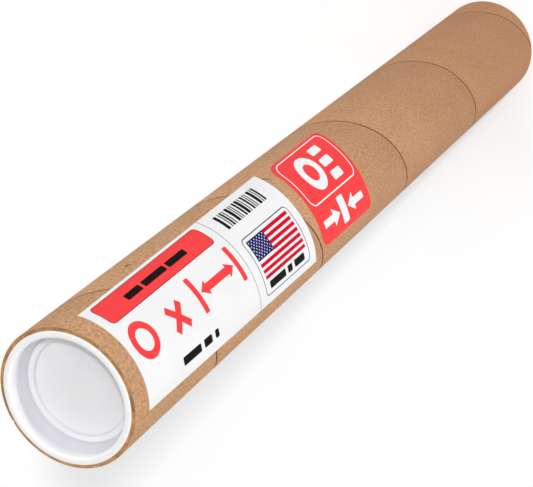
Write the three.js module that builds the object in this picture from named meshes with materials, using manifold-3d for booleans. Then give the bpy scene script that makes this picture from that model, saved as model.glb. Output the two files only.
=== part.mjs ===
// Round mailing tube: a spirally wound kraft board tube, closed at each end by a recessed plug
// cap, with a size label and a grade label stuck on its side.
// Millimetres, +Z up. The tube stands on its lower cap, and the origin is the centre of its base.
// The labels face -Y.

import * as THREE from 'three';
import { mergeVertices } from 'three/addons/utils/BufferGeometryUtils.js';
import Module from 'manifold-3d';

const wasm = await Module();
wasm.setup();

// Board tube
const boreDiameter = 50.8;
const boardThickness = 3.05;
const cutLength = 480;
const cutEdgeBreak = 0.2;
const tubeFacets = 80;

// Butt seam of the outer ply, a right-handed helix from end to end
const outerPlyThickness = 0.45;
const seamPitch = 105;
const seamGap = 0.45;
const seamFromTop = 49;

// Plug caps
const flangeCover = 1.35;
const flangeThickness = 0.85;
const flangeEdgeRound = 0.35;
const plugDepth = 11.4;
const plugClearance = 0.15;
const plugWall = 1.2;
const plugLand = 1.5;
const plugLean = 2.0;
const plugNoseRound = 0.9;
const mouthRound = 1.0;
const floorThickness = 1.2;
const floorFillet = 0.8;
const ledgeWidth = 2.6;
const panelStep = 1.25;
const panelDraft = 0.2;
const gateRadius = 1.3;
const gateHeight = 0.25;
const capFacets = 48;

// Crush ribs that grip the bore and let air past
const ribCount = 16;
const ribWidth = 1.0;
const ribClearance = 0.1;
const ribStart = 0.6;
const ribLength = 6.2;
const ribLeadIn = 2.0;

// Labels, placed down from the tube's top edge and round from its front line
const labelThickness = 0.15;
const labelGap = 0.02;
const sizeLabelFromTop = 9.7;
const sizeLabelLength = 150;
const sizeLabelLeft = 26.6;
const sizeLabelRight = 24.6;
const gradeLabelSpacing = 8.3;
const gradeLabelLength = 54.5;
const gradeLabelLeft = 24.8;
const gradeLabelRight = 23.5;
const gradeLeftCorner = 3.5;
const gradeRightCorner = 6.5;

// Sizes that follow from those above
const boreRadius = boreDiameter / 2;
const tubeRadius = boreRadius + boardThickness;
const tubeBase = flangeThickness;
const tubeTop = tubeBase + cutLength;

const colours = {
  kraft: 0xc1966c,
  cap: 0xebebed,
  paper: 0xf5f5f5,
  gradeRed: 0xfc4b4b,
};

function material(colour, roughness) {
  return new THREE.MeshStandardMaterial({ color: colour, roughness, metalness: 0 });
}

// Solids: a closed geometry goes in, and a geometry with shared vertices comes back.

function solidOf(geometry) {
  const bare = geometry.clone();
  bare.deleteAttribute('normal');
  bare.deleteAttribute('uv');
  const merged = mergeVertices(bare, 1e-5);
  return new wasm.Manifold(new wasm.Mesh({
    numProp: 3,
    vertProperties: new Float32Array(merged.attributes.position.array),
    triVerts: new Uint32Array(merged.index.array),
  }));
}

function geometryOf(solid) {
  const mesh = solid.getMesh();
  const geometry = new THREE.BufferGeometry();
  geometry.setAttribute('position', new THREE.BufferAttribute(mesh.vertProperties, 3));
  geometry.setIndex(new THREE.BufferAttribute(mesh.triVerts, 1));
  geometry.computeVertexNormals();
  return geometry;
}

// A profile of (radius, height) points is turned about the Z axis, its first facet edge on -Y.

function revolve(points, facets) {
  const geometry = new THREE.LatheGeometry(points, facets);
  geometry.rotateX(Math.PI / 2);
  return geometry;
}

// A straight sleeve between two radii and two heights. breakSize bevels its outer corners.

function sleeve(innerRadius, outerRadius, low, high, breakSize, facets) {
  const outline = new THREE.Path();
  outline.moveTo(innerRadius, low);
  outline.lineTo(outerRadius - breakSize, low);
  if (breakSize > 0) outline.lineTo(outerRadius, low + breakSize);
  outline.lineTo(outerRadius, high - breakSize);
  if (breakSize > 0) outline.lineTo(outerRadius - breakSize, high);
  outline.lineTo(innerRadius, high);
  outline.lineTo(innerRadius, low);
  return revolve(outline.getPoints(), facets);
}

// Board tube. The outer ply is a strip wound edge to edge, and where its edges meet a narrow
// open seam is left. A straight bar is wound round the tube in the same way, one step to each
// facet, and cut away to make it.

function woundBar(startAngle, steps, bottomRadius, topRadius) {
  const stepAngle = 2 * Math.PI / tubeFacets;
  const leadAngle = Math.atan(seamPitch / (2 * Math.PI * tubeRadius));
  const span = steps * stepAngle;
  const bar = new THREE.BoxGeometry(
    span, seamGap / Math.cos(leadAngle), topRadius - bottomRadius, steps, 1, 1,
  );
  const position = bar.attributes.position;
  const seamHeight = tubeTop - seamFromTop;
  for (let i = 0; i < position.count; i += 1) {
    const angle = startAngle + position.getX(i) + span / 2;
    const radius = (bottomRadius + topRadius) / 2 + position.getZ(i);
    const height = seamHeight + seamPitch * angle / (2 * Math.PI) + position.getY(i);
    position.setXYZ(i, radius * Math.sin(angle), -radius * Math.cos(angle), height);
  }
  return bar;
}

function tubeGeometry() {
  const runOut = 2 * seamGap;
  const seamHeight = tubeTop - seamFromTop;
  const stepRise = seamPitch / tubeFacets;
  const firstStep = Math.floor((tubeBase - runOut - seamHeight) / stepRise);
  const lastStep = Math.ceil((tubeTop + runOut - seamHeight) / stepRise);
  const board = sleeve(boreRadius, tubeRadius, tubeBase, tubeTop, cutEdgeBreak, tubeFacets);
  const seam = woundBar(
    firstStep * 2 * Math.PI / tubeFacets,
    lastStep - firstStep,
    tubeRadius - outerPlyThickness,
    tubeRadius + outerPlyThickness,
  );
  return geometryOf(solidOf(board).subtract(solidOf(seam)));
}

// Plug cap, moulded in one piece. Heights are measured outwards from the tube's cut edge, on
// which the flange rests: the cup, its ledge and its sunk panel lie below zero.

const plugRadius = boreRadius - plugClearance;
const mouthRadius = plugRadius - plugWall;
const flangeRadius = boreRadius + flangeCover;
const panelHeight = floorThickness - plugDepth;
const ledgeHeight = panelHeight + panelStep;
const ledgeUnderside = ledgeHeight - floorThickness;

function plugRadiusAt(height) {
  const leanStart = -plugLand;
  const share = (leanStart - height) / (leanStart - ledgeUnderside);
  return plugRadius - plugLean * Math.max(0, share);
}

function capProfile() {
  const roundSteps = 3;
  const noseTop = ledgeUnderside + plugNoseRound;
  const filletTop = ledgeHeight + floorFillet;
  const ledgeOuter = plugRadiusAt(ledgeHeight) - plugWall;
  const panelRadius = ledgeOuter - ledgeWidth;
  const outline = new THREE.Path();
  outline.moveTo(0, -plugDepth);
  outline.lineTo(panelRadius + floorThickness, -plugDepth);
  outline.lineTo(panelRadius + floorThickness, ledgeUnderside);
  outline.lineTo(plugRadiusAt(ledgeUnderside) - plugNoseRound, ledgeUnderside);
  outline.quadraticCurveTo(
    plugRadiusAt(ledgeUnderside), ledgeUnderside, plugRadiusAt(noseTop), noseTop,
  );
  outline.lineTo(plugRadius, -plugLand);
  outline.lineTo(plugRadius, 0);
  outline.lineTo(flangeRadius, 0);
  outline.lineTo(flangeRadius, flangeThickness - flangeEdgeRound);
  outline.quadraticCurveTo(
    flangeRadius, flangeThickness, flangeRadius - flangeEdgeRound, flangeThickness,
  );
  outline.lineTo(mouthRadius + mouthRound, flangeThickness);
  outline.quadraticCurveTo(
    mouthRadius, flangeThickness, mouthRadius, flangeThickness - mouthRound,
  );
  outline.lineTo(mouthRadius, -plugLand);
  outline.lineTo(plugRadiusAt(filletTop) - plugWall, filletTop);
  outline.quadraticCurveTo(ledgeOuter, ledgeHeight, ledgeOuter - floorFillet, ledgeHeight);
  outline.lineTo(panelRadius, ledgeHeight);
  outline.lineTo(panelRadius - panelDraft, panelHeight);
  outline.lineTo(gateRadius, panelHeight);
  outline.lineTo(gateRadius, panelHeight + gateHeight);
  outline.lineTo(0, panelHeight + gateHeight);
  return outline.getPoints(roundSteps);
}

function ribGeometry() {
  const ribRadius = boreRadius - ribClearance;
  const top = -ribStart;
  const bottom = -ribStart - ribLength;
  const root = plugWall / 2;
  const outline = new THREE.Shape();
  outline.moveTo(plugRadiusAt(top) - root, top);
  outline.lineTo(plugRadiusAt(bottom) - root, bottom);
  outline.lineTo(plugRadiusAt(bottom), bottom);
  outline.lineTo(ribRadius, bottom + ribLeadIn);
  outline.lineTo(ribRadius, top);
  const rib = new THREE.ExtrudeGeometry(outline, { depth: ribWidth, bevelEnabled: false });
  rib.translate(0, 0, -ribWidth / 2);
  rib.rotateX(Math.PI / 2);
  return rib;
}

function capGeometry() {
  let cap = solidOf(revolve(capProfile(), capFacets));
  for (let i = 0; i < ribCount; i += 1) {
    const rib = ribGeometry();
    rib.rotateZ(2 * Math.PI * i / ribCount);
    cap = cap.add(solidOf(rib));
  }
  return geometryOf(cap);
}

// Labels. Each is a thin skin round the tube, trimmed by an outline that is drawn flat, as the
// label was cut, and bent to the tube: x runs round the tube from -Y towards +X, y is height.

function labelOutline(left, right, low, high, leftCorner, rightCorner) {
  const quarter = Math.PI / 2;
  const outline = new THREE.Shape();
  outline.moveTo(-left + leftCorner, low);
  outline.lineTo(right - rightCorner, low);
  if (rightCorner > 0) {
    outline.absarc(right - rightCorner, low + rightCorner, rightCorner, -quarter, 0);
  }
  outline.lineTo(right, high - rightCorner);
  if (rightCorner > 0) {
    outline.absarc(right - rightCorner, high - rightCorner, rightCorner, 0, quarter);
  }
  outline.lineTo(-left + leftCorner, high);
  if (leftCorner > 0) {
    outline.absarc(-left + leftCorner, high - leftCorner, leftCorner, quarter, 2 * quarter);
  }
  outline.lineTo(-left, low + leftCorner);
  if (leftCorner > 0) {
    outline.absarc(-left + leftCorner, low + leftCorner, leftCorner, 2 * quarter, 3 * quarter);
  }
  return outline;
}

function labelGeometry(outline, low, high) {
  const cornerSteps = 6;
  const inner = tubeRadius + labelGap;
  const outer = inner + labelThickness;
  const trimReach = outer + 1;
  const bent = outline.getPoints(cornerSteps).map(
    (point) => new THREE.Vector2(tubeRadius * Math.sin(point.x / tubeRadius), point.y),
  );
  const trim = new THREE.ExtrudeGeometry(new THREE.Shape(bent), {
    depth: trimReach, bevelEnabled: false,
  });
  trim.rotateX(Math.PI / 2);
  const skin = sleeve(inner, outer, low - 1, high + 1, 0, tubeFacets);
  return geometryOf(solidOf(skin).intersect(solidOf(trim)));
}

const sizeLabelTop = tubeTop - sizeLabelFromTop;
const sizeLabelBottom = sizeLabelTop - sizeLabelLength;
const gradeLabelTop = sizeLabelBottom - gradeLabelSpacing;
const gradeLabelBottom = gradeLabelTop - gradeLabelLength;

// Assembly

const mailingTube = new THREE.Group();

function place(name, geometry, finish, height = 0) {
  const mesh = new THREE.Mesh(geometry, finish);
  mesh.name = name;
  mesh.position.z = height;
  mailingTube.add(mesh);
  return mesh;
}

place('board_tube', tubeGeometry(), material(colours.kraft, 0.85));

place('top_cap', capGeometry(), material(colours.cap, 0.4), tubeTop);

const bottomCap = place('bottom_cap', capGeometry(), material(colours.cap, 0.4), tubeBase);
bottomCap.rotation.x = Math.PI;

place(
  'size_label',
  labelGeometry(
    labelOutline(sizeLabelLeft, sizeLabelRight, sizeLabelBottom, sizeLabelTop, 0, 0),
    sizeLabelBottom,
    sizeLabelTop,
  ),
  material(colours.paper, 0.7),
);

place(
  'grade_label',
  labelGeometry(
    labelOutline(
      gradeLabelLeft, gradeLabelRight, gradeLabelBottom, gradeLabelTop,
      gradeLeftCorner, gradeRightCorner,
    ),
    gradeLabelBottom,
    gradeLabelTop,
  ),
  material(colours.gradeRed, 0.6),
);

export default mailingTube;
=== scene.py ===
import math

import bmesh
import bpy
from mathutils import Matrix, Vector, noise


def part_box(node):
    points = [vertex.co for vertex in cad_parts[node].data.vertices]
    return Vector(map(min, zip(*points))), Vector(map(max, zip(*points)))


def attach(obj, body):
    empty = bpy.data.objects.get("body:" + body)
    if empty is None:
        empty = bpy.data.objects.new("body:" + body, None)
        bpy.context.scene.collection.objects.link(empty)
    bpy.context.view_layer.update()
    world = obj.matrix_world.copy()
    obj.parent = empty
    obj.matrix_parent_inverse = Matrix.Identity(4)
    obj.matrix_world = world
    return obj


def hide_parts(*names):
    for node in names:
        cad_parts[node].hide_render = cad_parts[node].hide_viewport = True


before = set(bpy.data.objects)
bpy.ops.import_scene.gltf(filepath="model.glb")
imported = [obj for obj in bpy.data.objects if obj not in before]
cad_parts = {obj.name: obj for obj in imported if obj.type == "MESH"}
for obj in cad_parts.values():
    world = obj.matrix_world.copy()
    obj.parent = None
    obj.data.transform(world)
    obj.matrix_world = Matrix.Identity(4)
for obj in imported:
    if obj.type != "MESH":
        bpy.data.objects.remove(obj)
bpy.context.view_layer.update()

# The view: the tube stands on its lower cap, and the camera looks steeply down past its upper
# cap, rolled so that the tube runs from the picture's lower left to its upper right.

picture_width = 533
focal_length_in_pixels = 1728.3
sensor_width = 36
camera_place = Vector((0.0, -0.42275, 0.9522))
looking = Vector((-0.00540, 0.55308, -0.83311)).normalized()
picture_up = Vector((0.76671, -0.53255, -0.35853)).normalized()


def new_object(name, data):
    """An object in the scene, at the origin."""
    made = bpy.data.objects.new(name, data)
    bpy.context.scene.collection.objects.link(made)
    return made


camera_data = bpy.data.cameras.new("picture_camera")
camera_data.sensor_width = sensor_width
camera_data.lens = sensor_width * focal_length_in_pixels / picture_width
camera_data.clip_start = 0.01
camera = new_object("picture_camera", camera_data)
picture_right = looking.cross(picture_up)
camera_turn = Matrix((picture_right, picture_up, -looking)).transposed().to_4x4()
camera.matrix_world = Matrix.Translation(camera_place) @ camera_turn
bpy.context.scene.camera = camera

# The board tube: strips of kraft board wound in a spiral and glued, ply over ply. The innermost
# and outermost plies are real strips here, each butted against itself along a helical seam, and
# the plies between them are one core. The ends are sawn square.

mm = 0.001
tube_low, tube_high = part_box("board_tube")
tube_base = tube_low.z
tube_top = tube_high.z
tube_radius = tube_high.x
board_thickness = 3.05 * mm
bore_radius = tube_radius - board_thickness
ply_thickness = 0.45 * mm
seam_pitch = 105 * mm
outer_seam_gap = 0.55 * mm
outer_seam_from_top = 49 * mm
inner_seam_gap = 0.3 * mm
inner_seam_from_top = 97 * mm
slit_edge_rounding = 0.12 * mm
ply_overlap = 0.02 * mm
steps_per_turn = 144


class Shade:
    """A socket of a material's nodes, so that shader maths is written as plain arithmetic."""

    def __init__(self, tree, socket=None):
        self.tree = tree
        self.socket = socket

    def add(self, kind, settings=None, inputs=None, output=0):
        """A node of any kind: its settings, then the values or links of its inputs."""
        node = self.tree.nodes.new(kind)
        for name, value in (settings or {}).items():
            setattr(node, name, value)
        for name, value in (inputs or {}).items():
            if isinstance(value, Shade):
                self.tree.links.new(value.socket, node.inputs[name])
            else:
                node.inputs[name].default_value = value
        return Shade(self.tree, node.outputs[output] if node.outputs else None)

    def maths(self, operation, *values):
        """A Math node on this value and the others."""
        inputs = dict(enumerate((self, *values)))
        return self.add("ShaderNodeMath", {"operation": operation}, inputs)

    def vector(self, operation, *values, output=0):
        """A Vector Math node on this vector and the others."""
        settings = {"operation": operation}
        inputs = dict(enumerate((self, *values)))
        return self.add("ShaderNodeVectorMath", settings, inputs, output)

    def stretched(self, along, across, up=1.0):
        """This vector with each axis scaled."""
        return self.vector("MULTIPLY", (along, across, up))

    def reach_along(self, axis):
        """How far this vector reaches along an axis."""
        return self.vector("DOT_PRODUCT", axis, output="Value")

    def length(self):
        """The length of this vector."""
        return self.vector("LENGTH", output="Value")

    def clouds(self, scale, detail=2.0, roughness=0.5):
        """Noise over this vector, about 0 to 1."""
        inputs = {"Vector": self, "Scale": scale, "Detail": detail, "Roughness": roughness}
        return self.add("ShaderNodeTexNoise", {}, inputs)

    def ramp(self, low, high):
        """0 below low, 1 above high and a smooth rise between them."""
        inputs = {"Value": self, "From Min": low, "From Max": high}
        return self.add("ShaderNodeMapRange", {"interpolation_type": "SMOOTHSTEP"}, inputs)

    def blend(self, first, second):
        """Two colours, mixed by this value."""
        settings = {"data_type": "RGBA"}
        return self.add("ShaderNodeMix", settings, {0: self, 6: first, 7: second}, output=2)

    def __add__(self, other):
        return self.maths("ADD", other)

    def __sub__(self, other):
        return self.maths("SUBTRACT", other)

    def __rsub__(self, other):
        return self.maths("MULTIPLY_ADD", -1.0, other)

    def __mul__(self, other):
        return self.maths("MULTIPLY", other)

    def __truediv__(self, other):
        return self.maths("DIVIDE", other)

    __radd__ = __add__
    __rmul__ = __mul__


def printed(red, green, blue):
    """A colour as it reads on screen, 0 to 255, as the light values that a shader takes."""
    levels = [value / 255 for value in (red, green, blue)]
    return [v / 12.92 if v <= 0.04045 else ((v + 0.055) / 1.055) ** 2.4 for v in levels] + [1]


def new_finish(name):
    """An empty material and the start of its nodes."""
    finish = bpy.data.materials.new(name)
    finish.use_nodes = True
    finish.node_tree.nodes.clear()
    return finish, Shade(finish.node_tree)


def object_place(start):
    """Where a point of the piece is, in metres, before any joint moves it."""
    return start.add("ShaderNodeTexCoord", output="Object")


def distance_from_axis(place):
    """How far a place is from the tube's axis."""
    return place.stretched(1, 1, 0).length()


def close_finish(start, fine_height, height_scale, **inputs):
    """The surface, with its height as a bump in metres, joined to the material's output."""
    bump = start.add(
        "ShaderNodeBump", {}, {"Height": fine_height, "Distance": height_scale, "Strength": 1.0}
    )
    names = {name.replace("_", " "): value for name, value in inputs.items()}
    surface = start.add("ShaderNodeBsdfPrincipled", {}, {"Normal": bump, **names})
    start.add("ShaderNodeOutputMaterial", {}, {"Surface": surface})


def lead_angle(radius):
    """How steeply a strip climbs as it is wound at a radius."""
    return math.atan(seam_pitch / (2 * math.pi * radius))


def stray_marks(start):
    """Two small dark marks: a speck beside the size label and a crease near its lower end."""
    place = object_place(start)
    worn = place.clouds(1500, 2, 0.6) - 0.5
    depth = 1.5
    speck = (59.0, 29.5, 2.4, 1.2, 0.3)
    crease = (163.4, 19.4, 4.2, 0.9, 0.9)
    marks = 0.0
    for from_top, round_from_front, length, width, slant in (speck, crease):
        angle = round_from_front * mm / tube_radius
        centre = Vector((math.sin(angle), -math.cos(angle), 0)) * tube_radius
        centre.z = tube_top - from_top * mm
        turned = start.add(
            "ShaderNodeMapping",
            {"vector_type": "TEXTURE"},
            {"Vector": place, "Location": centre, "Rotation": (0, slant, angle)},
        )
        reach = turned.vector("DIVIDE", (width * mm, depth * mm, length * mm)).length()
        marks = marks + (1 - (reach + worn * 0.9).ramp(0.35, 0.9)) * 0.8
    return marks


def kraft_paper():
    """Unbleached kraft liner: fine fibres lie along the strip, over a soft brown mottle. The
    strip's slit edges are pressed and darker, and the board is painted darker towards the tube's
    base as painted shade."""
    finish, start = new_finish("kraft_paper")
    strip = start.add("ShaderNodeUVMap", {"uv_map": "strip"})
    clouds = strip.clouds(55, 3, 0.55)
    mottle = strip.stretched(1.0, 1.1).clouds(640, 4, 0.65)
    fibres = strip.stretched(0.75, 1.2).clouds(1900, 2, 0.6)
    flecks = strip.stretched(0.5, 1.0).clouds(1250, 1, 0.5)
    dark_flecks = flecks.ramp(0.69, 0.76)
    pale_flecks = (1 - flecks).ramp(0.70, 0.78)
    tone = 0.5 + (clouds - 0.5) * 0.3 + (mottle - 0.5) * 1.6 + (fibres - 0.5) * 1.0
    board = tone.ramp(0.0, 1.0).blend(printed(166, 117, 81), printed(218, 175, 134))
    place = object_place(start)
    height = place.reach_along((0, 0, 1))
    # Painted shade: the board darkens towards the tube's base.
    painted_base_shade = (1 - height.ramp(tube_base + 50 * mm, tube_base + 370 * mm)) * 0.5
    base_shaded = painted_base_shade.blend(board, printed(162, 112, 78))
    flecked = (dark_flecks * 0.55).blend(base_shaded, printed(122, 80, 50))
    marked = stray_marks(start).blend(flecked, printed(92, 62, 40))
    speckled = (pale_flecks * 0.5).blend(marked, printed(234, 200, 162))
    half_width = seam_pitch * math.cos(lead_angle(tube_radius)) / 2
    across = strip.reach_along((0, 1, 0))
    to_edge = half_width - (across - half_width).maths("ABSOLUTE")
    bruised = 1 - (to_edge + (mottle - 0.5) * 0.5 * mm).ramp(0.35 * mm, 0.8 * mm)
    coloured = (bruised * 0.75).blend(speckled, printed(136, 86, 47))
    close_finish(
        start,
        mottle * 0.6 + fibres * 0.4 - dark_flecks * 0.3,
        0.035 * mm,
        Base_Color=coloured,
        Roughness=0.7 + (mottle - 0.5) * 0.2,
        Specular_IOR_Level=0.12,
    )
    return finish


def sawn_board():
    """Board cut across its plies: golden and open, with a dark glue line between plies."""
    finish, start = new_finish("sawn_board")
    place = object_place(start)
    radius = distance_from_axis(place)
    wander = place.clouds(260, 3, 0.6) - 0.5
    torn = place.clouds(900, 4, 0.7)
    coarse = place.clouds(110, 3, 0.6)
    plies = (radius - bore_radius) / ply_thickness + wander * 0.5
    to_line = (plies - plies.maths("ROUND")).maths("ABSOLUTE")
    glue_lines = 1 - to_line.ramp(0.05, 0.3)
    burr = radius.ramp(tube_radius - 0.42 * mm, tube_radius - 0.16 * mm)
    tone = 0.58 + (torn - 0.5) * 1.0 + (coarse - 0.5) * 1.5 - glue_lines * 0.2
    board = tone.ramp(0.0, 1.0).blend(printed(142, 96, 54), printed(220, 170, 116))
    coloured = (burr * 0.6).blend(board, printed(222, 180, 136))
    close_finish(
        start,
        torn * 0.7 - glue_lines * 0.5,
        0.12 * mm,
        Base_Color=coloured,
        Roughness=0.78 + (torn - 0.5) * 0.2,
        Specular_IOR_Level=0.25,
    )
    return finish


def seam_glue_and_shade():
    """The ply below, seen down the open seam: stained by glue, and painted darker as painted
    shade in the seam.
    """
    finish, start = new_finish("seam_glue_and_shade")
    place = object_place(start)
    stain = place.clouds(240, 3, 0.6)
    close_finish(
        start,
        stain,
        0.05 * mm,
        # Glue stain and painted shade: the floor of the seam is coloured dark.
        Base_Color=stain.ramp(0.25, 0.75).blend(printed(100, 54, 22), printed(142, 88, 44)),
        Roughness=0.6 + (stain - 0.5) * 0.2,
    )
    return finish


def smooth_but_for_corners(mesh, corner_degrees):
    """Rounded faces shade smooth, and edges sharper than the angle stay crisp."""
    for face in mesh.faces:
        face.smooth = True
    for edge in mesh.edges:
        turn = edge.calc_face_angle(math.pi)
        edge.smooth = turn < math.radians(corner_degrees)


def finished_data(name, mesh):
    """A finished mesh as Blender keeps it with an object."""
    data = bpy.data.meshes.new(name)
    mesh.to_mesh(data)
    mesh.free()
    return data


def new_piece(name, mesh, finishes, body):
    """A finished mesh becomes an object that rides on its body."""
    data = finished_data(name, mesh)
    for finish in finishes:
        data.materials.append(finish)
    piece = new_object(name, data)
    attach(piece, body)
    return piece


def draw_section(mesh, points, closed):
    """An outline on the front side of the tube's axis, to be turned or wound about it. Each
    point is a radius and a height. Returns its corners."""
    corners = [mesh.verts.new((0, -radius, height)) for radius, height in points]
    next_corners = corners[1:] + (corners[:1] if closed else [])
    for first, second in zip(corners, next_corners):
        mesh.edges.new((first, second))
    return corners


def turn_section(mesh, steps):
    """Turns a section once about the tube's axis."""
    bmesh.ops.spin(
        mesh,
        geom=mesh.verts[:] + mesh.edges[:],
        cent=(0, 0, 0),
        axis=(0, 0, 1),
        angle=2 * math.pi,
        steps=steps,
        use_merge=True,
    )


def round_corners(mesh, corners, size, segments):
    """Rounds corners of an outline. Returns the vertices of the rounding."""
    rounded = bmesh.ops.bevel(
        mesh,
        geom=corners,
        offset=size,
        segments=segments,
        profile=0.5,
        affect="VERTICES",
        material=-1,
    )
    return rounded["verts"]


def seam_height(angle, seam_from_top):
    """The height of a ply's seam at an angle from the front, whole turns included."""
    return tube_top - seam_from_top + seam_pitch * angle / (2 * math.pi)


def trim_to_length(mesh):
    """Saws a wound ply off square at the tube's two ends and closes the cuts."""
    for height, below in ((tube_base, True), (tube_top, False)):
        bmesh.ops.bisect_plane(
            mesh,
            geom=mesh.verts[:] + mesh.edges[:] + mesh.faces[:],
            dist=1e-7,
            plane_co=(0, 0, height),
            plane_no=(0, 0, 1),
            clear_inner=below,
            clear_outer=not below,
        )
        rim = [edge for edge in mesh.edges if edge.is_boundary]
        bmesh.ops.holes_fill(mesh, edges=rim, sides=0)


def wound_ply(inner_radius, outer_radius, gap, seam_from_top):
    """One strip of board, swept round the tube and up it, with a gap between its turns."""
    half_gap = gap / 2 / math.cos(lead_angle(outer_radius))
    turns_below = math.ceil((seam_height(0, seam_from_top) + seam_pitch) / seam_pitch)
    start_angle = -2 * math.pi * turns_below
    turns = turns_below + math.ceil(seam_from_top / seam_pitch)
    strip_low = seam_height(start_angle, seam_from_top) + half_gap
    strip_high = strip_low + seam_pitch - 2 * half_gap
    strip_section = (
        (inner_radius, strip_low),
        (outer_radius, strip_low),
        (outer_radius, strip_high),
        (inner_radius, strip_high),
    )
    ply = bmesh.new()
    corners = draw_section(ply, strip_section, closed=True)
    round_corners(ply, corners, slit_edge_rounding, 2)
    bmesh.ops.spin(
        ply,
        geom=ply.verts[:] + ply.edges[:],
        cent=(0, 0, 0),
        axis=(0, 0, 1),
        dvec=(0, 0, seam_pitch / steps_per_turn),
        angle=2 * math.pi * turns,
        steps=turns * steps_per_turn,
    )
    lay_strip_map(ply, seam_from_top)
    fray_edges(ply, seam_from_top, half_gap + 2 * slit_edge_rounding)
    trim_to_length(ply)
    bmesh.ops.recalc_face_normals(ply, faces=ply.faces)
    return ply


def angle_from_front(place):
    """A point's angle about the axis, counted from the front towards +X."""
    return math.atan2(place.x, -place.y)


def turned_angle(place, near, seam_from_top):
    """A point's angle, with the turns that put it on the strip that the point near is on."""
    angle = angle_from_front(place)
    near_angle = angle_from_front(near)
    above = near.z - seam_height(near_angle, seam_from_top)
    turn = math.floor(above / seam_pitch)
    apart = angle - near_angle
    if apart > math.pi:
        angle -= 2 * math.pi
    if apart < -math.pi:
        angle += 2 * math.pi
    return angle + 2 * math.pi * turn


def lay_strip_map(mesh, seam_from_top):
    """A map in metres: x along the strip as it was before winding, y across it."""
    layer = mesh.loops.layers.uv.new("strip")
    lead = lead_angle(tube_radius)
    for face in mesh.faces:
        middle = face.calc_center_median()
        for loop in face.loops:
            angle = turned_angle(loop.vert.co, middle, seam_from_top)
            across = loop.vert.co.z - seam_height(angle, seam_from_top)
            loop[layer].uv = (
                angle * tube_radius / math.cos(lead) + across * math.sin(lead),
                across * math.cos(lead),
            )


def fray_edges(mesh, seam_from_top, margin):
    """The strip's slit edges wander by a few hundredths of a millimetre, each in its own way."""
    wander = 0.09 * mm
    waves_per_radian, waves_per_metre = 4.1, 35
    apart_by_turn, apart_by_side = 3.3, 5
    for vert in mesh.verts:
        angle = angle_from_front(vert.co)
        above = vert.co.z - seam_height(angle, seam_from_top)
        turn = above / seam_pitch
        to_seam = (turn - round(turn)) * seam_pitch
        if abs(to_seam) < margin:
            side = 1 if to_seam > 0 else -1
            own = round(turn) * apart_by_turn + side * apart_by_side
            along = Vector((angle * waves_per_radian, own, vert.co.z * waves_per_metre))
            vert.co.z += side * wander * noise.noise(along)


def board_core():
    """The plies between the innermost and the outermost, as one wall."""
    inside = bore_radius + ply_thickness
    outside = tube_radius - ply_thickness
    section = (
        (inside, tube_base),
        (outside, tube_base),
        (outside, tube_top),
        (inside, tube_top),
    )
    core = bmesh.new()
    draw_section(core, section, closed=True)
    turn_section(core, steps_per_turn)
    bmesh.ops.recalc_face_normals(core, faces=core.faces)
    return core


def choose_board_finishes(board):
    """Liner on the outside and in the bore, sawn board on the ends, glue stain and painted shade
    down the seams.
    """
    sawn, seam_shade_slot = 1, 2
    liner_depth = 0.3 * mm
    board.normal_update()
    for face in board.faces:
        radius = math.hypot(*face.calc_center_median().xy)
        on_outside = radius > tube_radius - liner_depth
        in_bore = radius < bore_radius + liner_depth
        if abs(face.normal.z) > 0.9:
            face.material_index = sawn
        elif not (on_outside or in_bore):
            face.material_index = seam_shade_slot


def build_board_tube():
    """The two visible plies and the core between them, as one piece."""
    finishes = (kraft_paper(), sawn_board(), seam_glue_and_shade())
    held_depth = ply_thickness + ply_overlap
    outer_ply = wound_ply(
        tube_radius - held_depth, tube_radius, outer_seam_gap, outer_seam_from_top
    )
    inner_ply = wound_ply(
        bore_radius, bore_radius + held_depth, inner_seam_gap, inner_seam_from_top
    )
    board = bmesh.new()
    for part in (outer_ply, inner_ply, board_core()):
        data = finished_data("ply", part)
        board.from_mesh(data)
        bpy.data.meshes.remove(data)
    many_sided = [face for face in board.faces if len(face.verts) > 4]
    bmesh.ops.triangulate(board, faces=many_sided)
    choose_board_finishes(board)
    smooth_but_for_corners(board, 30)
    tube = new_piece("wound_board_tube", board, finishes, "tube")
    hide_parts("board_tube")


build_board_tube()

# The plug caps: one-piece white polyethylene mouldings, pushed into the bore until the flange
# meets the sawn edge. The cup has leaning walls, a ledge and a sunk panel with its gate mark,
# and crush ribs on the outside hold it in the board.

cap_low, cap_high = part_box("top_cap")
flange_radius = cap_high.x
flange_thickness = cap_high.z - tube_top
plug_depth = tube_top - cap_low.z
plug_radius = bore_radius - 0.15 * mm
plug_wall = 1.2 * mm
plug_land = 1.5 * mm
plug_lean = 2.0 * mm
floor_thickness = 1.2 * mm
ledge_width = 2.6 * mm
panel_step = 1.25 * mm
panel_height = floor_thickness - plug_depth
ledge_height = panel_height + panel_step
ledge_under = ledge_height - floor_thickness
lean_at_ledge = plug_lean * (plug_land + ledge_height) / (plug_land + ledge_under)
ledge_outer = plug_radius - lean_at_ledge - plug_wall
panel_radius = ledge_outer - ledge_width
gate_radius = 1.3 * mm
gate_height = 0.12 * mm
rib_count = 16
rib_width = 1.0 * mm
rib_length = 6.2 * mm
rib_start = 0.6 * mm
rib_clearance = 0.1 * mm
cap_steps = 160


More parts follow.
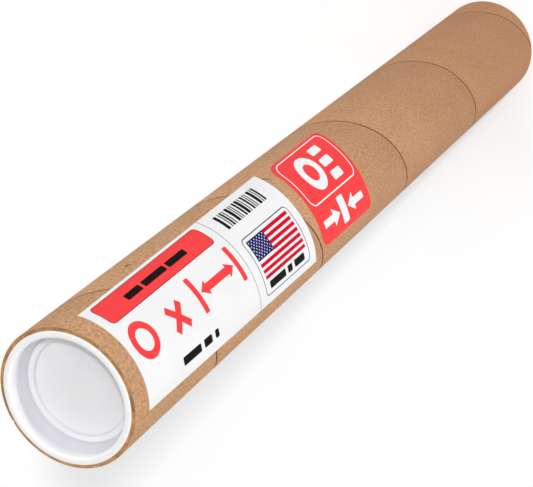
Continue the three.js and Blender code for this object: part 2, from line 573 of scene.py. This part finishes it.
def moulded_plastic():
    """White polyethylene with a soft gloss, and light goes a little way into it. Its colour is
    painted whitest on the flange as painted light, duller on the cup's wall as painted shade,
    and dullest in the corners of the ledge as painted shade."""
    finish, start = new_finish("moulded_plastic")
    place = object_place(start)
    haze = place.clouds(90, 2, 0.5)
    peel = place.clouds(700, 2, 0.5)
    radius = distance_from_axis(place)
    height = place.reach_along((0, 0, 1))
    half_length = (tube_top - tube_base) / 2
    depth = half_length - (height - tube_base - half_length).maths("ABSOLUTE")
    # Painted shade on the cup's wall.
    painted_wall_shade = depth.ramp(0.8 * mm, 3.5 * mm) * radius.ramp(ledge_outer - 0.6 * mm, ledge_outer)
    # Painted light: the flange is whiter than the rest.
    painted_flange_light = 1 - depth.ramp(-0.3 * mm, 0.9 * mm)
    panel = haze.ramp(0.2, 0.8).blend(printed(240, 240, 242), printed(244, 244, 245))
    wall_shaded = painted_wall_shade.blend(panel, printed(221, 220, 226))
    to_ledge = (radius - ledge_outer).maths("ABSOLUTE")
    to_corner = (radius - panel_radius).maths("ABSOLUTE").maths("MINIMUM", to_ledge)
    # Painted shade in the corners of the ledge and the panel.
    painted_corner_shade = (1 - to_corner.ramp(0.1 * mm, 0.5 * mm)) * depth.ramp(5 * mm, 7 * mm)
    corner_shaded = (painted_corner_shade * 0.38).blend(wall_shaded, printed(200, 199, 208))
    coloured = painted_flange_light.blend(corner_shaded, printed(254, 254, 254))
    close_finish(
        start,
        peel,
        0.006 * mm,
        Base_Color=coloured,
        Roughness=0.3 + (haze - 0.5) * 0.12,
        IOR=1.51,
        Subsurface_Weight=0.12,
        Subsurface_Radius=(0.0016, 0.0016, 0.0017),
        Subsurface_Scale=1.0,
    )
    return finish


def turned_cap():
    """The cap's section, turned about its axis. Each corner has its radius, its height from the
    board's sawn edge, and its rounding in millimetres."""
    mouth_radius = plug_radius - plug_wall
    section = (
        (0, -plug_depth, 0),
        (panel_radius + floor_thickness, -plug_depth, 0.3),
        (panel_radius + floor_thickness, ledge_under, 0.25),
        (plug_radius - plug_lean, ledge_under, 0.9),
        (plug_radius, -plug_land, 0.6),
        (plug_radius, 0, 0),
        (flange_radius, 0, 0.1),
        (flange_radius, flange_thickness, 0.36),
        (mouth_radius, flange_thickness, 0.8),
        (mouth_radius, -plug_land, 0.6),
        (ledge_outer, ledge_height, 0.45),
        (panel_radius, ledge_height, 0.3),
        (panel_radius - 0.2 * mm, panel_height, 0.3),
        (gate_radius, panel_height, 0.05),
        (gate_radius - 0.1 * mm, panel_height + gate_height, 0.1),
        (0, panel_height + gate_height, 0),
    )
    cap = bmesh.new()
    outline = [(radius, height) for radius, height, rounding in section]
    corners = draw_section(cap, outline, closed=False)
    for corner, (radius, height, rounding) in zip(corners, section):
        if rounding:
            round_corners(cap, [corner], rounding * mm, 4)
    turn_section(cap, cap_steps)
    bmesh.ops.remove_doubles(cap, verts=cap.verts, dist=1e-6)
    bmesh.ops.recalc_face_normals(cap, faces=cap.faces)
    return cap


def vertices_in(made):
    """The vertices among what an operator made."""
    return [item for item in made["geom"] if isinstance(item, bmesh.types.BMVert)]


def add_crush_ribs(cap):
    """Low ribs down the plug's wall, with a sloped lead-in. Their roots stand in the wall."""
    root_depth = 0.5 * mm
    lead_in = 2 * mm
    share_of_lean_at_foot = 0.66
    wall_at_foot = plug_radius - plug_lean * share_of_lean_at_foot
    crest = bore_radius - rib_clearance
    foot = -rib_start - rib_length
    profile = (
        (wall_at_foot - root_depth, foot),
        (wall_at_foot, foot),
        (crest, foot + lead_in),
        (crest, -rib_start),
        (plug_radius - root_depth, -rib_start),
    )
    for number in range(rib_count):
        verts = [cap.verts.new((-rib_width / 2, -radius, height)) for radius, height in profile]
        side = cap.faces.new(verts)
        moved = vertices_in(bmesh.ops.extrude_face_region(cap, geom=[side]))
        bmesh.ops.translate(cap, verts=moved, vec=(rib_width, 0, 0))
        turn = Matrix.Rotation(2 * math.pi * number / rib_count, 4, "Z")
        bmesh.ops.transform(cap, matrix=turn, verts=verts + moved)


plastic = moulded_plastic()


def build_cap(name, node, body, height, upside_down):
    """One cap, seated on the board's edge at that height."""
    cap = turned_cap()
    add_crush_ribs(cap)
    if upside_down:
        flip = Matrix.Rotation(math.pi, 4, "X")
        bmesh.ops.transform(cap, matrix=flip, verts=cap.verts)
    bmesh.ops.translate(cap, verts=cap.verts, vec=(0, 0, height))
    bmesh.ops.recalc_face_normals(cap, faces=cap.faces)
    smooth_but_for_corners(cap, 35)
    piece = new_piece(name, cap, (plastic,), body)
    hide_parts(node)


build_cap("upper_plug_cap", "top_cap", "upper_cap", tube_top, False)
build_cap("lower_plug_cap", "bottom_cap", "lower_cap", tube_base, True)

# The size label: white coated paper, glued round the front of the tube before use. Its print
# is laid out flat in millimetres, x down the tube from its top edge and y round it towards +X,
# which is the top of the print, and each ink is a thin film that is bent round with the paper.

label_thickness = 0.11
ink_thickness = 0.02
glue_line = 0.01
bend_step = 1.25
widening = 0.0006
bow_at_top = 0.0025
bow_growth = 0.0000425
bow_middle = -3
size_label_field = (9.0, -26.0, 157.3, 22.8)
label_red = (251, 69, 71)
label_white = (243, 243, 244)


def coated_paper(name, colour, roughness):
    """Smooth coated label paper, or ink on it, with a trace of the paper's grain."""
    finish, start = new_finish(name)
    place = object_place(start)
    grain = place.clouds(1400, 3, 0.6)
    drift = place.clouds(60, 2, 0.5)
    darker = [value * 0.96 for value in colour]
    shade = (0.5 + (drift - 0.5) * 0.7 + (grain - 0.5) * 0.5).ramp(0, 1)
    close_finish(
        start,
        grain,
        0.008 * mm,
        Base_Color=shade.blend(printed(*darker), printed(*colour)),
        Roughness=roughness + (grain - 0.5) * 0.1,
        Specular_IOR_Level=0.03,
    )
    return finish


def plate(mesh, left, low, right, high, corners=0.0):
    """A flat rectangle, its corners rounded by one radius or by four. Returns its face."""
    middle = Vector(((left + right) / 2, (low + high) / 2, 0))
    size = Matrix.Diagonal((right - left, high - low, 1, 1))
    verts = bmesh.ops.create_grid(
        mesh, x_segments=1, y_segments=1, size=0.5, matrix=Matrix.Translation(middle) @ size
    )["verts"]
    face = verts[0].link_faces[0]
    radii = corners if isinstance(corners, tuple) else (corners,) * 4
    verts.sort(key=lambda vert: (vert.co.x, vert.co.y))
    for vert, radius in zip(verts, radii):
        if radius:
            face = round_corners(mesh, [vert], radius, 8)[0].link_faces[0]
    return face


def disc(mesh, x, y, radius, segments=64, turn=0.0):
    """A flat disc, or with few segments a polygon. Returns its face."""
    place = Matrix.Translation((x, y, 0)) @ Matrix.Rotation(turn, 4, "Z")
    made = bmesh.ops.create_circle(
        mesh, cap_ends=True, segments=segments, radius=radius, matrix=place
    )
    return made["verts"][0].link_faces[0]


def hollow(mesh, face, line):
    """Leaves only an outline of a flat face."""
    bmesh.ops.inset_region(
        mesh, faces=[face], thickness=line, use_even_offset=True, use_boundary=True
    )
    bmesh.ops.delete(mesh, geom=[face], context="FACES_ONLY")


def arrow(mesh, tip, middle, tail, head, line):
    """An arrow along x, from its tail to its tip."""
    way = 1 if tip > tail else -1
    disc(mesh, tip - way * head, middle, head, segments=3, turn=-way * math.pi / 2)
    neck = tip - way * head * 1.5
    plate(mesh, min(neck, tail), middle - line / 2, max(neck, tail), middle + line / 2)


def star(mesh, x, y, radius):
    """A small five-pointed star."""
    waist = 0.42
    centre = Vector((x, y, 0))
    face = disc(mesh, x, y, radius, segments=10)
    for number, vert in enumerate(face.verts):
        if number % 2:
            vert.co = centre + (vert.co - centre) * waist


def cross(mesh, x, y, reach, line):
    """A slanting cross of two equal bars."""
    half = line / 2
    hub = plate(mesh, x - half, y - half, x + half, y + half)
    verts = set(hub.verts)
    for edge in list(hub.edges):
        outward = (edge.verts[0].co + edge.verts[1].co) / 2 - Vector((x, y, 0))
        tips = vertices_in(bmesh.ops.extrude_edge_only(mesh, edges=[edge]))
        bmesh.ops.translate(mesh, verts=tips, vec=outward.normalized() * (reach - half))
        verts.update(tips)
    slant = Matrix.Rotation(math.pi / 4, 4, "Z")
    bmesh.ops.rotate(mesh, cent=(x, y, 0), matrix=slant, verts=list(verts))


def words(mesh, low, high, *spans):
    """Plain bars where a line of small print stands, one to each word."""
    corner = (high - low) * 0.2
    for left, right in spans:
        plate(mesh, left, low, right, high, corner)


def on_tube(x, y, lift):
    """Where a point of the flat print comes on the tube. The print widens a little down the
    tube, and its cross lines bow towards the tube's top, more so further down."""
    from_label_top = x - size_label_field[0]
    arc = y * (1 + widening * from_label_top)
    bow = (bow_at_top + bow_growth * from_label_top) * (arc - bow_middle) ** 2
    angle = arc * mm / tube_radius
    reach = tube_radius + lift * mm
    return reach * math.sin(angle), -reach * math.cos(angle), tube_top - (x + bow) * mm


def bend_round_tube(mesh, lift, thickness):
    """The flat print gets its thickness and is laid on the tube."""
    for face in mesh.faces:
        face.normal_update()
        if face.normal.z < 0:
            face.normal_flip()
    low = min(vert.co.y for vert in mesh.verts)
    high = max(vert.co.y for vert in mesh.verts)
    for number in range(math.ceil(low / bend_step), math.ceil(high / bend_step)):
        bmesh.ops.bisect_plane(
            mesh,
            geom=mesh.verts[:] + mesh.edges[:] + mesh.faces[:],
            dist=1e-5,
            plane_co=(0, number * bend_step, 0),
            plane_no=(0, 1, 0),
        )
    raised = bmesh.ops.extrude_face_region(mesh, geom=mesh.faces[:], use_keep_orig=True)
    bmesh.ops.translate(mesh, verts=vertices_in(raised), vec=(0, 0, thickness))
    for vert in mesh.verts:
        vert.co = on_tube(vert.co.x, vert.co.y, lift + vert.co.z)
    bmesh.ops.recalc_face_normals(mesh, faces=mesh.faces)
    smooth_but_for_corners(mesh, 30)


def lay_inks(label, inks):
    """Each ink, with its colour and how many films lie under it, goes on the label."""
    for name, (mesh, colour, films_under) in inks.items():
        lift = glue_line + label_thickness + films_under * ink_thickness
        bend_round_tube(mesh, lift, ink_thickness)
        ink = coated_paper(label + name + "_ink", colour, 0.45)
        new_piece(label + name, mesh, (ink,), "tube")


def build_size_label():
    """The paper, with its edge as thick as the label stock."""
    sheet = bmesh.new()
    plate(sheet, *size_label_field)
    bend_round_tube(sheet, glue_line, label_thickness)
    finish = coated_paper("label_white", label_white, 0.5)
    paper = new_piece("size_label_paper", sheet, (finish,), "tube")
    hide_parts("size_label")


def print_heading(red, black):
    """A red bar with a thin dark edge, and a line of small print on it."""
    bar = (13.8, 9.5, 96.6, 21.1)
    corner, line = 2.4, 0.28
    plate(red, *bar, corner)
    hollow(black, plate(black, *bar, corner), line)
    words(black, 13.3, 16.4, (31.5, 42.8), (44.6, 61.8), (63.6, 78.8))


def print_signs(red, black):
    """The bore as a ring, a cross, and the length between two stops. A note stands below."""
    low, high, line = -9.5, 6.0, 3.2
    middle = (low + high) / 2
    radius = (high - low) / 2
    ring_left = 13.2
    hollow(red, disc(red, ring_left + radius, middle, radius), line)
    cross(red, 45.3, -3.4, 7.0, line)
    length_left, length_right = 61.5, 98.2
    stop_corner, stop_gap, arrow_head = 0.7, 1.2, 3.6
    plate(red, length_left, low, length_left + line, high, stop_corner)
    plate(red, length_right - line, low, length_right, high, stop_corner)
    centre = (length_left + length_right) / 2
    reach = (length_right - length_left) / 2 - line - stop_gap
    for way in (-1, 1):
        arrow(red, centre + way * reach, middle, centre, arrow_head, line)
    words(black, -20.5, -17.0, (36.6, 50.8), (53.4, 59.8), (62.6, 65.6))


def print_flag(navy, red, white, black):
    """A flag of thirteen stripes with stars on its corner field, in an outlined panel. Its red
    has spread in the print, so that the red stripes are wider than the white ones."""
    panel = (108.2, -22.2, 151.6, 3.6)
    panel_corner, panel_line = 2.5, 0.42
    hollow(navy, plate(navy, *panel, panel_corner), panel_line)
    left, low, right, high = 110.8, -15.0, 149.4, 1.7
    stripes = 13
    spread = 1.18
    stripe = (high - low) / stripes
    corner_right = 125.8
    corner_low = high - 7 * stripe
    for number in range(0, stripes, 2):
        top = high - number * stripe
        beside_corner = top > corner_low + stripe / 2
        stripe_left = corner_right if beside_corner else left
        plate(red, stripe_left, top - stripe * spread, right, top)
    plate(navy, left, corner_low, corner_right, high)
    rows, columns, star_radius = 9, 6, 0.46
    for row in range(rows):
        shift = row % 2
        for column in range(columns - shift):
            across = (column + 0.5 + 0.5 * shift) / columns
            down = (row + 1) / (rows + 1)
            x = left + across * (corner_right - left)
            y = high - down * (high - corner_low)
            star(white, x, y, star_radius)
    words(black, -19.9, -16.6, (112.6, 127.6), (129.9, 134.2), (136.6, 146.4))


def print_stock_code(black):
    """A row of plain upright bars of three widths, with two widths of space between them."""
    widths = (3, 1, 2, 1, 3, 1, 1, 2, 3, 1, 2, 1, 1, 3, 1, 2)
    unit, space, wide_space = 0.72, 0.9, 1.5
    left, low, high = 109.6, 9.9, 18.6
    for number, width in enumerate(widths):
        right = left + width * unit
        plate(black, left, low, right, high)
        left = right + (space if number % 3 else wide_space)


def print_size_label():
    """All the inks of the size label, and the thin line across it."""
    black, red, grey, navy, crimson, white = (bmesh.new() for ink in range(6))
    print_heading(red, black)
    print_signs(red, black)
    print_flag(navy, crimson, white, black)
    print_stock_code(black)
    divider, line = 102.0, 0.3
    plate(grey, divider, size_label_field[1], divider + line, size_label_field[3])
    inks = {
        "red": (red, label_red, 0),
        "black": (black, (18, 12, 14), 1),
        "grey": (grey, (96, 98, 104), 0),
        "navy": (navy, (30, 32, 100), 0),
        "crimson": (crimson, (216, 0, 40), 0),
        "stars": (white, label_white, 1),
    }
    lay_inks("size_label_", inks)


build_size_label()
print_size_label()

# The grade label: the same paper printed red, die-cut with round corners and glued below the
# size label. Its signs are white: an outlined panel with a thick ring and three plies, and
# below that a wall between two arrows.

grade_label_field = (166.3, -22.9, 220.7, 21.0)
grade_label_corners = (5.0, 6.5, 3.0, 4.0)


def build_grade_label():
    """The red paper."""
    sheet = bmesh.new()
    plate(sheet, *grade_label_field, grade_label_corners)
    bend_round_tube(sheet, glue_line, label_thickness)
    finish = coated_paper("grade_red", label_red, 0.45)
    paper = new_piece("grade_label_paper", sheet, (finish,), "tube")
    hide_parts("grade_label")


def print_grade_label():
    """The white outline and signs."""
    white = bmesh.new()
    panel = (168.9, -5.3, 218.3, 19.4)
    panel_corners, panel_line = (4.6, 6.4, 4.6, 3.8), 0.6
    hollow(white, plate(white, *panel, panel_corners), panel_line)
    low, high = -2.0, 15.4
    radius = (high - low) / 2
    ring_left, ring_line = 178.6, 4.3
    hollow(white, disc(white, ring_left + radius, low + radius, radius, 72), ring_line)
    ply_left, ply_right = 198.8, 208.4
    ply, corner = 4.0, 0.8
    for number in range(3):
        ply_low = low + number * (high - low - ply) / 2
        plate(white, ply_left, ply_low, ply_right, ply_low + ply, corner)
    gauge_low, gauge_high, gauge_line = -20.0, -7.6, 3.2
    gauge_middle = (gauge_low + gauge_high) / 2
    wall_left, wall_right = 190.0, 196.2
    upper_tail, lower_tail = 171.6, 214.4
    gap, head = 1.4, 4.6
    plate(white, wall_left, gauge_low, wall_right, gauge_high, corner)
    arrow(white, wall_left - gap, gauge_middle, upper_tail, head, gauge_line)
    arrow(white, wall_right + gap, gauge_middle, lower_tail, head, gauge_line)
    lay_inks("grade_label_", {"signs": (white, (246, 246, 246), 0)})


build_grade_label()
print_grade_label()

# The stage: a plain white floor under even light from all round. Lamps high behind the viewer
# lay the tube's soft shadow beside it, low ones on both sides light the round of the tube, and
# a small one near the upper end makes that end the brightest.


def floor_finish():
    """White paper, kept white in the picture wherever no shadow falls."""
    finish, start = new_finish("floor_white")
    place = object_place(start)
    colour = place.clouds(30, 2, 0.5).blend(printed(238, 238, 238), printed(240, 240, 240))
    in_picture = start.add("ShaderNodeLightPath")
    matt = start.add("ShaderNodeBsdfDiffuse", {}, {"Color": colour})
    lift = start.add(
        "ShaderNodeEmission", {}, {"Color": (1, 1, 1, 1), "Strength": in_picture * floor_lift}
    )
    both = start.add("ShaderNodeAddShader", {}, {0: matt, 1: lift})
    start.add("ShaderNodeOutputMaterial", {}, {"Surface": both})
    return finish


def add_sun(name, round_from_front, height, strength, softness):
    """A far lamp, placed by degrees: round from the labels towards +X, and up."""
    data = bpy.data.lights.new(name, "SUN")
    data.energy = strength
    data.angle = math.radians(softness)
    sun = new_object(name, data)
    turn = math.radians(round_from_front)
    rise = math.radians(height)
    towards = Vector(
        (math.sin(turn) * math.cos(rise), -math.cos(turn) * math.cos(rise), math.sin(rise))
    )
    sun.matrix_world = towards.to_track_quat("Z", "Y").to_matrix().to_4x4()


floor_lift = 0.27
room_light = 0.33
floor_size = 20
floor_drop = 0.05 * mm
floor_mesh = bmesh.new()
floor_place = Matrix.Translation((0, 0, -floor_drop))
bmesh.ops.create_grid(
    floor_mesh, x_segments=2, y_segments=2, size=floor_size, matrix=floor_place
)
floor_data = finished_data("floor", floor_mesh)
floor_data.materials.append(floor_finish())
floor = new_object("floor", floor_data)

world = bpy.data.worlds.new("studio")
bpy.context.scene.world = world
world.use_nodes = True
world.node_tree.nodes.clear()
around = Shade(world.node_tree)
in_view = around.add("ShaderNodeLightPath")
strength = in_view * (1 - room_light) + room_light
sky = around.add("ShaderNodeBackground", {}, {"Color": (1, 1, 1, 1), "Strength": strength})
around.add("ShaderNodeOutputWorld", {}, {"Surface": sky})

add_sun("shadow_lamp", 6.0, 45.6, 0.97, 3.2)
add_sun("wide_shadow_lamp", 11, 46, 0.13, 10)
add_sun("top_lamp", 25, 78, 0.5, 20)
add_sun("right_lamp", -50, 5, 0.8, 1)
add_sun("right_fill", -95, 10, 0.5, 30)
add_sun("left_fill", 85, 8, 0.95, 30)

near_data = bpy.data.lights.new("near_lamp", "AREA")
near_data.size = 0.25
near_data.energy = 0.8
near_lamp = new_object("near_lamp", near_data)
near_place = Vector((0.04, -0.6, 1.0))
near_aim = Vector((0.0, 0.0, tube_top)) - near_place
near_turn = near_aim.to_track_quat("-Z", "Y").to_matrix().to_4x4()
near_lamp.matrix_world = Matrix.Translation(near_place) @ near_turn

bpy.context.scene.view_settings.view_transform = "Standard"
